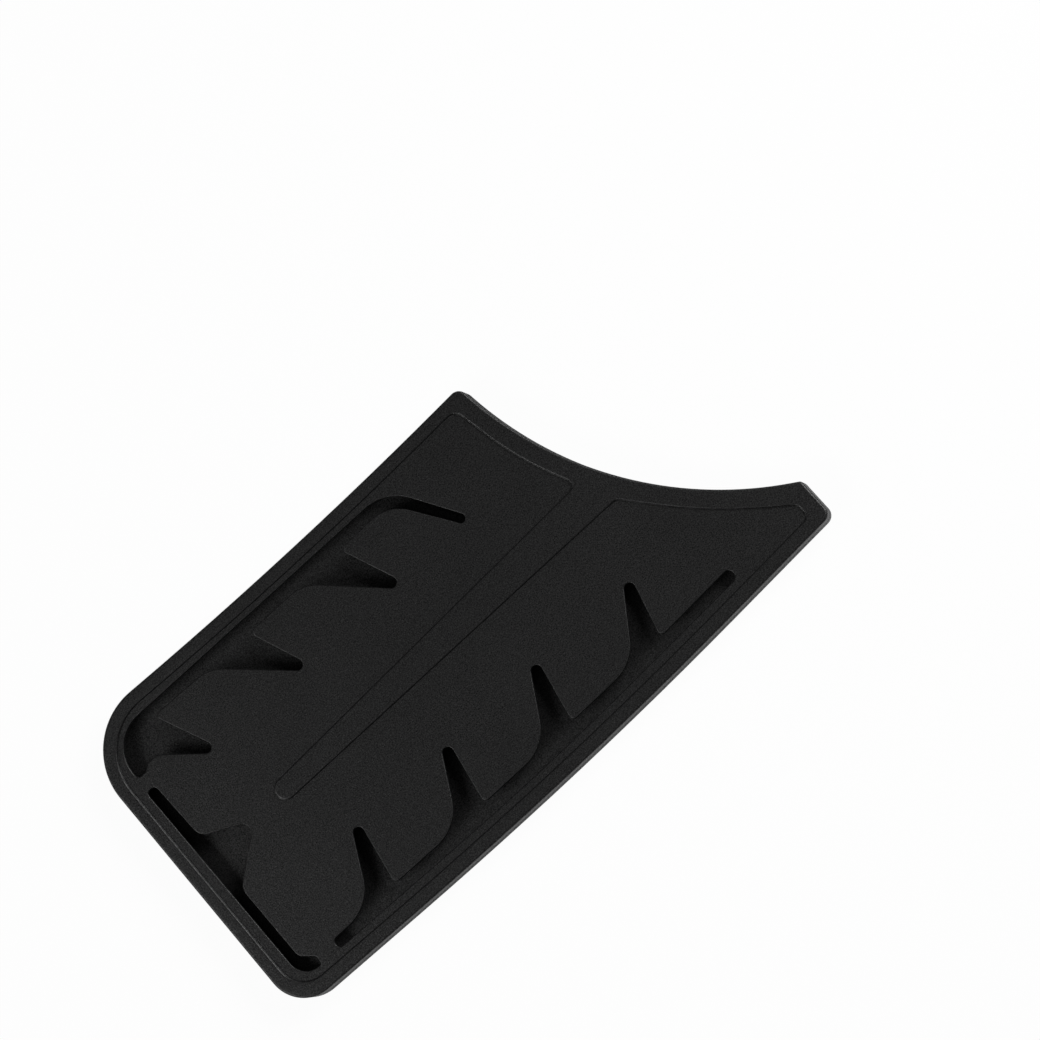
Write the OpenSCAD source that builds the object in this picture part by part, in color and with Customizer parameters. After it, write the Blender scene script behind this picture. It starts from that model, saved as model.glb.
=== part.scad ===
/* [Thickness] */
// Thickness of the closed guard, over its raised borders
guard_t = 9.5; // [9:0.1:12]
// Height of the seam between the shells, above the back
seam_z = 4.3; // [3.8:0.1:5]
// Thickness of each broad face inside its raised border
face_t = 1.3; // [1.2:0.1:1.5]
// Depth of the recessed fields below the border and the rib
field_d = 0.7; // [0.4:0.1:0.8]

/* [Wall and seam] */
// Thickness of the side wall round the blade pocket
wall_t = 3; // [2.8:0.1:3.4]
// Width of the tongue on the back shell's rim
tongue_w = 1; // [0.8:0.1:1.2]
// Height of the tongue above the seam
tongue_h = 1.2; // [0.8:0.1:1.6]
// Clear space between the tongue and its groove, on each side
tongue_play = 0.08; // [0.05:0.01:0.15]
// Distance by which the groove stops short of the mouth, which closes its ends
groove_stop = 2; // [1.5:0.1:3]
// Height of the shadow gap along the seam
gap_h = 0.4; // [0.2:0.1:0.8]
// Depth of the shadow gap along the seam
gap_d = 0.35; // [0.2:0.05:0.5]

/* [Spring fingers] */
// Radius of the round end of each slit between two fingers
slit_r = 1.75; // [1.5:0.05:1.9]
// Radius of the square corner of each finger
finger_r = 1.5; // [0.8:0.1:2]
// Length of the grip ridge under each finger
ridge_l = 14; // [8:1:16]
// Width of each grip ridge
ridge_w = 1.6; // [1:0.1:2.4]
// Height of each grip ridge
ridge_h = 0.6; // [0.3:0.1:0.9]

/* [Hidden] */

plastic = [0.10, 0.10, 0.105];
plastic_back = [0.17, 0.17, 0.175];
// Largest gap between a round stretch and its straight steps
chord_gap = 0.01;
// Distance that a cut runs past the face it opens
over = 1;
pocket_floor = field_d + face_t;
pocket_top = guard_t - field_d - face_t;
// Distance from the wall's outer side to the tongue
tongue_in = (wall_t - tongue_w) / 2;

// Corners of every outline are [x, y, radius], anticlockwise, with the mouth at +x
// and the spine side of the blade at +y. A very large radius is a slow bow.
guard_outline = [
    [52.8, 53.05, 3.2],
    [-17.0, 51.0, 1500],
    [-105.7, 55.8, 22.5],
    [-109.2, -52.1, 12],
    [2.0, -56.35, 1600],
    [109.0, -51.75, 3.2],
    [109.05, -38.35, 1.4],
    [59.25, -6.35, 117.2]
];
// How far the pocket's outline runs out through the mouth
mouth_out = 4;
// Number of sides of the outline that are closed by a wall, before the two of the mouth
closed_sides = 6;
function inset_by(d, mouth) = [for (i = [0:len(guard_outline) - 1]) i < closed_sides ? d : mouth];

// The recessed field is one loop, which goes round the rib from one side to the other
field_outline = [
    [47.3, 48.7, 3.5],
    [-19.5, 46.9, 1500],
    [-101.75, 51.3, 19],
    [-104.85, -47.7, 9],
    [2.5, -52.05, 1550],
    [103.4, -47.6, 2.2],
    [103.4, -42.8, 2.5],
    [82.4, -26.0, 160],
    [65.0, -4.4, 3],
    [-70.2, -2.9, 3.2],
    [-70.2, 3.8, 3.2],
    [59.5, 7.0, 2.2],
    [51.5, 24.4, 105]
];

// The fingers' ends follow the bows of the two long sides
function spine_end_y(x) = 42.0 + 0.00028 * pow(x - 5, 2);
function edge_end_y(x) = -43.95 + 0.0002 * pow(x - 3, 2);
// Radii where a swept flank turns into its finger's end
spine_sweep_r = 12;
edge_sweep_r = 14;
// Each slit between two fingers: the point where its two flanks would meet, then how
// far towards the tip its steep flank and its swept flank end
spine_slits = [
    [-35.1, 18.9, 8.7, 25.0],
    [2.9, 16.9, 9.5, 24.8]
];
edge_slits = [
    [54.4, -17.5, 7.4, 18.8],
    [16.9, -15.8, 6.3, 17.4],
    [-19.4, -15.2, 5.8, 16.5],
    [-55.3, -13.5, 6.1, 16.2]
];
// The spine side's first slit, whose far flank rises to the crest beside the tip
crest_slit = [-72.3, 20.0, 9.9];

function spine_end(x, r) = [x, spine_end_y(x), r];
function edge_end(x, r) = [x, edge_end_y(x), r];

spine_window = [
    [-98.5, 47.9, 12.4],
    [-98.5, 33.4, 1.6],
    [-95.2, 33.4, 1.2],
    [-90.9, 36.3, 5],
    [crest_slit[0], crest_slit[1], slit_r],
    spine_end(crest_slit[0] - crest_slit[2], finger_r),
    for (s = spine_slits) each [
        spine_end(s[0] - s[3], spine_sweep_r),
        [s[0], s[1], slit_r],
        spine_end(s[0] - s[2], finger_r)
    ],
    spine_end(13.4, 12.5),
    [26.3, 21.8, 1.4],
    [28.7, 23.2, 1.4],
    [15.7, 45.6, 15]
];
tip_window = [
    [-99.4, 28.5, 1.3],
    [-101.2, -45.2, 6.2],
    [-94.1, -45.6, 0.8],
    [-93.6, -42.9, 1],
    [-97.8, -39.2, 3],
    [-97.1, -12.5, 5],
    [-80.7, 0.1, 2.6],
    [-96.0, 7.7, 4.5],
    [-96.1, 28.5, 1.4]
];
edge_window = [
    [-86.9, -42.8, 1.5],
    [-86.9, -45.95, 1.5],
    [-4.5, -48.8, 1000],
    [75.8, -46.2, 1.6],
    [75.8, -42.4, 1.6],
    for (s = edge_slits) each [
        edge_end(s[0] - s[2], finger_r),
        [s[0], s[1], slit_r],
        edge_end(s[0] - s[3], edge_sweep_r)
    ]
];

// Square corner of every finger, where its grip ridge begins
spine_fingers = [crest_slit[0] - crest_slit[2], for (s = spine_slits) s[0] - s[2]];
edge_fingers = [for (s = edge_slits) s[0] - s[2]];
// Distance of a grip ridge from its finger's end and from its square corner
ridge_back = 3.5;
ridge_in = 3;

// Outline of straight sides and true arcs from a list of corners
function spot(c) = [c[0], c[1]];
function along(a, b) = (spot(b) - spot(a)) / norm(spot(b) - spot(a));
function turn_from(u, v) = atan2(u[0] * v[1] - u[1] * v[0], u * v);
function turned(p, a) = [p[0] * cos(a) - p[1] * sin(a), p[0] * sin(a) + p[1] * cos(a)];
function before(c, i) = c[(i + len(c) - 1) % len(c)];
function after(c, i) = c[(i + 1) % len(c)];
function arc_at(a, b, c) =
    let (u = along(a, b))
    let (turn = turn_from(u, along(b, c)))
    let (side = sign(turn) * b[2])
    let (start = spot(b) - u * b[2] * tan(abs(turn) / 2))
    let (centre = start + side * [-u[1], u[0]])
    let (steps = ceil(abs(turn) / (2 * acos(1 - chord_gap / b[2]))))
    [for (i = [0:steps]) centre + turned(start - centre, turn * i / steps)];
function rounded(c) = [for (i = [0:len(c) - 1]) each arc_at(before(c, i), c[i], after(c, i))];

// The same corners with side i moved inwards by d[i], its arcs kept concentric
function moved(b, u, v, du, dv) =
    let (turn = turn_from(u, v))
    let (p = spot(b) + (du * v - dv * u) / sin(turn))
    [p[0], p[1], max(0.5, b[2] - sign(turn) * (du + dv) / 2)];
function inset(c, d) = [
    for (i = [0:len(c) - 1])
        moved(c[i], along(before(c, i), c[i]), along(c[i], after(c, i)), before(d, i), d[i])
];

outer = rounded(guard_outline);
xs = [for (p = outer) p[0]];
ys = [for (p = outer) p[1]];
centre = [(min(xs) + max(xs)) / 2, (min(ys) + max(ys)) / 2];
echo(length = max(xs) - min(xs), width = max(ys) - min(ys), centre = centre);

// A flat plate of one outline, centred on the guard
module plate(points, z0, z1) {
    translate([-centre[0], -centre[1], z0])
        linear_extrude(z1 - z0)
            polygon(points);
}

// Body of the guard inset by d along its closed sides, and by mouth at its mouth
module slab(d, z0, z1, mouth = 0) {
    plate(rounded(inset(guard_outline, inset_by(d, mouth))), z0, z1);
}

// Blade pocket, which runs out through the mouth
module pocket(d, z0, z1) {
    plate(rounded(inset(guard_outline, inset_by(d, -mouth_out))), z0, z1);
}

// Band along the closed sides, between two distances from the outer side, which ends at
// a distance inside the mouth
module band(d0, d1, z0, z1, mouth) {
    difference() {
        slab(d0, z0, z1, mouth);
        pocket(d1, z0 - over, z1 + over);
    }
}

module grip_ridge(corner_x, end_y, towards) {
    y = end_y + towards * ridge_back;
    translate([corner_x + ridge_in - centre[0], y - ridge_w / 2 - centre[1], pocket_top - ridge_h])
        cube([ridge_l, ridge_w, ridge_h + face_t / 2]);
}

// Front half: windows, spring fingers, border, rib and the groove of the seam
module front_shell() {
    color(plastic) {
        difference() {
            slab(0, seam_z, guard_t);
            pocket(wall_t, seam_z - over, pocket_top);
            plate(rounded(field_outline), guard_t - field_d, guard_t + over);
            for (w = [spine_window, tip_window, edge_window])
                plate(rounded(w), pocket_top - over, guard_t + over);
            band(
                tongue_in - tongue_play,
                tongue_in + tongue_w + tongue_play,
                seam_z - over,
                seam_z + tongue_h + tongue_play,
                groove_stop
            );
        }
        for (x = spine_fingers)
            grip_ridge(x, spine_end_y(x), -1);
        for (x = edge_fingers)
            grip_ridge(x, edge_end_y(x), 1);
    }
}

// Back half: closed face, border, rib, the shadow gap and the tongue of the seam
module back_shell() {
    color(plastic_back) {
        difference() {
            union() {
                slab(0, 0, seam_z - gap_h);
                slab(gap_d, seam_z - gap_h, seam_z);
                band(
                    tongue_in,
                    tongue_in + tongue_w,
                    seam_z,
                    seam_z + tongue_h,
                    groove_stop + tongue_play
                );
            }
            pocket(wall_t, pocket_floor, seam_z + tongue_h + over);
            plate(rounded(field_outline), -over, field_d);
        }
    }
}

front_shell();
back_shell();
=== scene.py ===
from math import cos, radians, sin

import bmesh
import bpy
from mathutils import Matrix, Vector


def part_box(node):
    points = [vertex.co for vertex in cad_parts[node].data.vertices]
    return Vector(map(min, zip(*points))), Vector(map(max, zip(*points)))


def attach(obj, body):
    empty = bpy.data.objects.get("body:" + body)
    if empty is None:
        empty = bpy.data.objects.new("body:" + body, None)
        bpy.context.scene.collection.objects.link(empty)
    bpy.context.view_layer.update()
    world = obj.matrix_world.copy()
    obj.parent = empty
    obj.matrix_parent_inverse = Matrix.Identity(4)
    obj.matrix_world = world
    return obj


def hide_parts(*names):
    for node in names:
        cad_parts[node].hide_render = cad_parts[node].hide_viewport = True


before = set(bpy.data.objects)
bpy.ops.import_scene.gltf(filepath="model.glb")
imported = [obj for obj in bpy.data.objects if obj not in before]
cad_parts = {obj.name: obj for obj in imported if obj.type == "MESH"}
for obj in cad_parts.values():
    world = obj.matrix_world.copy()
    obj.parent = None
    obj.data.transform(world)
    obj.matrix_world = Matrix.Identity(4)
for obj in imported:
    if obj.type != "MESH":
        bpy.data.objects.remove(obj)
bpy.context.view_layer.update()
scene = bpy.context.scene
scene.view_settings.view_transform = "Standard"
MM = 0.001


# Camera: a long lens 1.6 m above the guard, tilted eleven degrees off straight down
# towards its open heel corner, and turned so the mouth points to the upper right.
camera_place = Vector((198.5, -264.15, 1600.0)) * MM
camera_looks_at = Vector((39.57, 11.07, 9.4)) * MM
camera_roll = radians(42.34)
sensor_mm = 36
lens_mm = 188.7

camera_data = bpy.data.cameras.new("studio_camera")
camera_data.sensor_width = sensor_mm
camera_data.lens = lens_mm
camera_data.clip_start = 0.05
camera = bpy.data.objects.new("studio_camera", camera_data)
scene.collection.objects.link(camera)
backwards = (camera_place - camera_looks_at).normalized()
right = Vector((0, 1, 0)).cross(backwards).normalized()
upwards = backwards.cross(right)
level = Matrix((right, upwards, backwards)).transposed().to_4x4()
camera.matrix_world = Matrix.Translation(camera_place) @ level @ Matrix.Rotation(-camera_roll, 4, "Z")
scene.camera = camera


# Studio: a white table under two soft boxes, one past each end of the guard, in a dim
# room. The camera sees table and room as white, and the table keeps a faint shadow.
def area_light(name, place, aim, size, power):
    data = bpy.data.lights.new(name, "AREA")
    data.shape = "RECTANGLE"
    data.size, data.size_y = size
    data.energy = power
    light = bpy.data.objects.new(name, data)
    scene.collection.objects.link(light)
    facing = (Vector(place) - Vector(aim)).normalized()
    light.matrix_world = Matrix.Translation(place) @ facing.to_track_quat("Z", "Y").to_matrix().to_4x4()


area_light("soft_box_mouth", (0.8, 0.06, 0.64), (0.05, 0, 0), (0.6, 0.5), 8.4)
area_light("soft_box_tip", (-0.75, -0.04, 0.7), (-0.05, 0, 0), (0.6, 0.5), 4.1)

pure_white = (1, 1, 1, 1)
room_dim = 0.02
room_bright = 0.05
dim_below = 0.3


def node_of(tree, kind, **inputs):
    node = tree.nodes.new(kind)
    for name, value in inputs.items():
        node.inputs[name.replace("_", " ")].default_value = value
    return node


room = bpy.data.worlds.new("room")
scene.world = room
room.use_nodes = True
tree = room.node_tree
tree.nodes.clear()
rays = node_of(tree, "ShaderNodeLightPath")
direction = node_of(tree, "ShaderNodeTexCoord")
height = node_of(tree, "ShaderNodeSeparateXYZ")
falloff = node_of(tree, "ShaderNodeMapRange", From_Min=dim_below, To_Min=room_dim, To_Max=room_bright)
air = node_of(tree, "ShaderNodeBackground", Color=pure_white)
backdrop = node_of(tree, "ShaderNodeBackground", Color=pure_white, Strength=1)
seen = node_of(tree, "ShaderNodeMixShader")
out = node_of(tree, "ShaderNodeOutputWorld")
tree.links.new(direction.outputs["Generated"], height.inputs[0])
tree.links.new(height.outputs["Z"], falloff.inputs["Value"])
tree.links.new(falloff.outputs[0], air.inputs["Strength"])
tree.links.new(rays.outputs["Is Camera Ray"], seen.inputs[0])
tree.links.new(air.outputs[0], seen.inputs[1])
tree.links.new(backdrop.outputs[0], seen.inputs[2])
tree.links.new(seen.outputs[0], out.inputs["Surface"])

table_half = 3.0
table_gap = 0.05 * MM
table_white = (0.94, 0.94, 0.94, 1)
glow_share = 0.955
bm = bmesh.new()
bmesh.ops.create_grid(bm, x_segments=1, y_segments=1, size=table_half)
bmesh.ops.translate(bm, verts=bm.verts, vec=(0, 0, -table_gap))
table_mesh = bpy.data.meshes.new("table")
bm.to_mesh(table_mesh)
bm.free()
table = bpy.data.objects.new("table", table_mesh)
scene.collection.objects.link(table)
table_paint = bpy.data.materials.new("white_table")
table_paint.use_nodes = True
tree = table_paint.node_tree
tree.nodes.clear()
rays = node_of(tree, "ShaderNodeLightPath")
matt = node_of(tree, "ShaderNodeBsdfDiffuse", Color=table_white)
glow = node_of(tree, "ShaderNodeEmission", Strength=1)
lit = node_of(tree, "ShaderNodeMixShader")
lit.inputs[0].default_value = glow_share
seen = node_of(tree, "ShaderNodeMixShader")
out = node_of(tree, "ShaderNodeOutputMaterial")
tree.links.new(matt.outputs[0], lit.inputs[1])
tree.links.new(glow.outputs[0], lit.inputs[2])
tree.links.new(rays.outputs["Is Camera Ray"], seen.inputs[0])
tree.links.new(matt.outputs[0], seen.inputs[1])
tree.links.new(lit.outputs[0], seen.inputs[2])
tree.links.new(seen.outputs[0], out.inputs["Surface"])
table.data.materials.append(table_paint)


# Shell plastic: black nylon-like moulding with the fine spark grain of its mould, which
# breaks the sheen into flecks, and broad patches a little more rubbed than the rest.
# Both shells are made of it.
# The base colour is lighter on the same flecks that raise the sheen. This is painted sheen in the
# colour, added to the real sheen flecks of the specular level. It is darker between them.
base_black = (0.004, 0.004, 0.0041, 1)
painted_sheen_black = (0.009, 0.009, 0.0091, 1)
grain_size = 0.5 * MM
fleck_size = 0.35 * MM
grain_deep = 0.08 * MM
sheen_patches_per_m = 26

plastic = bpy.data.materials.new("spark_grained_plastic")
plastic.use_nodes = True
tree = plastic.node_tree
tree.nodes.clear()
where = node_of(tree, "ShaderNodeTexCoord")
grain = node_of(tree, "ShaderNodeTexNoise", Scale=1 / grain_size, Detail=2.0, Roughness=0.7)
sheen_patches = node_of(tree, "ShaderNodeTexNoise", Scale=sheen_patches_per_m, Detail=3.0, Roughness=0.6)
dull = node_of(tree, "ShaderNodeMapRange", To_Min=0.37, To_Max=0.45)
flecks = node_of(tree, "ShaderNodeTexNoise", Scale=1 / fleck_size, Detail=1.0)
shine = node_of(tree, "ShaderNodeMapRange", From_Min=0.25, From_Max=0.75, To_Min=0.1, To_Max=0.9)
# Painted sheen: the colour ramp lightens the base colour where the flecks raise the specular level.
painted_sheen_tint = node_of(tree, "ShaderNodeValToRGB")
base_stop, painted_sheen_stop = painted_sheen_tint.color_ramp.elements
base_stop.position = 0.3
base_stop.color = base_black
painted_sheen_stop.position = 0.7
painted_sheen_stop.color = painted_sheen_black
bump = node_of(tree, "ShaderNodeBump", Strength=1.0, Distance=grain_deep)
body = node_of(tree, "ShaderNodeBsdfPrincipled", IOR=1.5)
out = node_of(tree, "ShaderNodeOutputMaterial")
tree.links.new(where.outputs["Object"], grain.inputs["Vector"])
tree.links.new(where.outputs["Object"], sheen_patches.inputs["Vector"])
tree.links.new(sheen_patches.outputs[0], dull.inputs["Value"])
tree.links.new(grain.outputs[0], bump.inputs["Height"])
tree.links.new(where.outputs["Object"], flecks.inputs["Vector"])
tree.links.new(flecks.outputs[0], shine.inputs["Value"])
tree.links.new(flecks.outputs[0], painted_sheen_tint.inputs[0])
tree.links.new(painted_sheen_tint.outputs[0], body.inputs["Base Color"])
tree.links.new(shine.outputs[0], body.inputs["Specular IOR Level"])
tree.links.new(dull.outputs[0], body.inputs["Roughness"])
tree.links.new(bump.outputs[0], body.inputs["Normal"])
tree.links.new(body.outputs[0], out.inputs["Surface"])


# Front shell: one thin moulding with the border, the rib and the spring fingers. Its
# sharp machined rims become the small fillets that a moulding has.
weld_gap = 0.002 * MM
sharp_angle = radians(28)
fillet_steps = 4
near = 0.05 * MM
step_high = 0.8 * MM


def rim_of(faces, fillet_at):
    """For each corner of the faces' rims: its place, the way inwards, its run and drop."""
    inside = set(faces)
    edges = []
    sides = {}
    for face in faces:
        for loop in face.loops:
            walls = [other for other in loop.edge.link_faces if other not in inside]
            if not walls:
                continue
            edges.append(loop.edge)
            inwards = face.normal.cross(loop.link_loop_next.vert.co - loop.vert.co).normalized()
            rise = max((v.co.z - loop.vert.co.z for v in walls[0].verts), key=abs)
            outer_edge = rise * face.normal.z < 0
            run, drop = fillet_at(abs(rise), outer_edge)
            drop *= face.normal.z * (1 if outer_edge else -1)
            for v in loop.edge.verts:
                sides.setdefault(v, []).append((inwards, run, drop))
    corners = {}
    for v, ((first, run, drop), (second, other_run, other_drop)) in sides.items():
        if abs(drop - other_drop) > near / 10:
            run, drop = 0, 0
        corners[v] = (v.co.copy(), (first + second) / (1 + first.dot(second)), run, drop)
    return edges, corners


def round_rims(bm, height, fillet_at):
    """Rounds every rim of the flat faces at a height, by a fillet for each kind of wall."""
    flat = [face for face in bm.faces if abs(face.normal.z) > 0.99]
    faces = [face for face in flat if all(abs(v.co.z - height) < near for v in face.verts)]
    facing = faces[0].normal.copy()
    edges, corners = rim_of(faces, fillet_at)
    bmesh.ops.delete(bm, geom=faces, context="FACES")
    rim = {v: v for v in corners}
    for step in range(1, fillet_steps + 1):
        turn = radians(90) * step / fillet_steps
        made = bmesh.ops.extrude_edge_only(bm, edges=edges)["geom"]
        inner = {}
        for v in made:
            if isinstance(v, bmesh.types.BMVert):
                outer = [edge.other_vert(v) for edge in v.link_edges if edge.other_vert(v) in rim]
                inner[v] = rim[outer[0]]
        for v, corner in inner.items():
            place, inwards, run, drop = corners[corner]
            v.co = place + inwards * run * (1 - cos(turn))
            v.co.z = place.z - drop * (1 - sin(turn))
        edges = [edge for edge in made if isinstance(edge, bmesh.types.BMEdge)]
        edges = [edge for edge in edges if all(v in inner for v in edge.verts)]
        rim = inner
    for v, (place, inwards, run, drop) in corners.items():
        v.co.z = place.z - drop
    bmesh.ops.triangle_fill(bm, use_beauty=True, edges=edges, normal=facing)
    bm.normal_update()


def moulded(node_name, piece_name, rims):
    """A copy of a CAD shell with rounded rims: rims gives each height and its fillets."""
    bm = bmesh.new()
    bm.from_mesh(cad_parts[node_name].data)
    bmesh.ops.remove_doubles(bm, verts=bm.verts, dist=weld_gap)
    for height, fillet_at in rims:
        round_rims(bm, height, fillet_at)
    bmesh.ops.remove_doubles(bm, verts=bm.verts, dist=weld_gap)
    bmesh.ops.recalc_face_normals(bm, faces=bm.faces)
    for edge in bm.edges:
        edge.smooth = edge.calc_face_angle() < sharp_angle
    for face in bm.faces:
        face.smooth = True
    mesh = bpy.data.meshes.new(piece_name)
    bm.to_mesh(mesh)
    bm.free()
    piece = bpy.data.objects.new(piece_name, mesh)
    scene.collection.objects.link(piece)
    flatness = piece.modifiers.new("flat_faces", "WEIGHTED_NORMAL")
    flatness.mode = "FACE_AREA"
    flatness.weight = 50
    flatness.keep_sharp = True
    mesh.materials.clear()
    mesh.materials.append(plastic)
    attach(piece, "root")
    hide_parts(node_name)


front_low, front_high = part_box("front_shell")
field_deep = 0.7 * MM
skin = 1.3 * MM


def border_rims(wall, outer_edge):
    return (0.7 * MM, 0.7 * MM) if wall > step_high else (0.55 * MM, 0.4 * MM)


def field_rims(wall, outer_edge):
    return (0.3 * MM, 0.3 * MM) if outer_edge else (0.15 * MM, 0.12 * MM)


def inner_rims(wall, outer_edge):
    return (0.25 * MM, 0.25 * MM) if outer_edge else (0, 0)


def seam_rims(wall, outer_edge):
    return (0.15 * MM, 0.15 * MM) if wall > 4 * MM else (0, 0)


moulded("front_shell", "front_moulding", (
    (front_high.z, border_rims),
    (front_high.z - field_deep, field_rims),
    (front_high.z - field_deep - skin, inner_rims),
    (front_low.z, seam_rims),
))


# Back shell: the closed half, with the same border and rib on its outer face, and the
# tongue that is welded into the front shell's groove. Its resting edge is rounder.
back_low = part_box("back_shell")[0]


def resting_rims(wall, outer_edge):
    return (0.6 * MM, 0.7 * MM) if wall > step_high else (0.55 * MM, 0.4 * MM)


moulded("back_shell", "back_moulding", (
    (back_low.z, resting_rims),
    (back_low.z + field_deep, field_rims),
    (back_low.z + field_deep + skin, inner_rims),
))
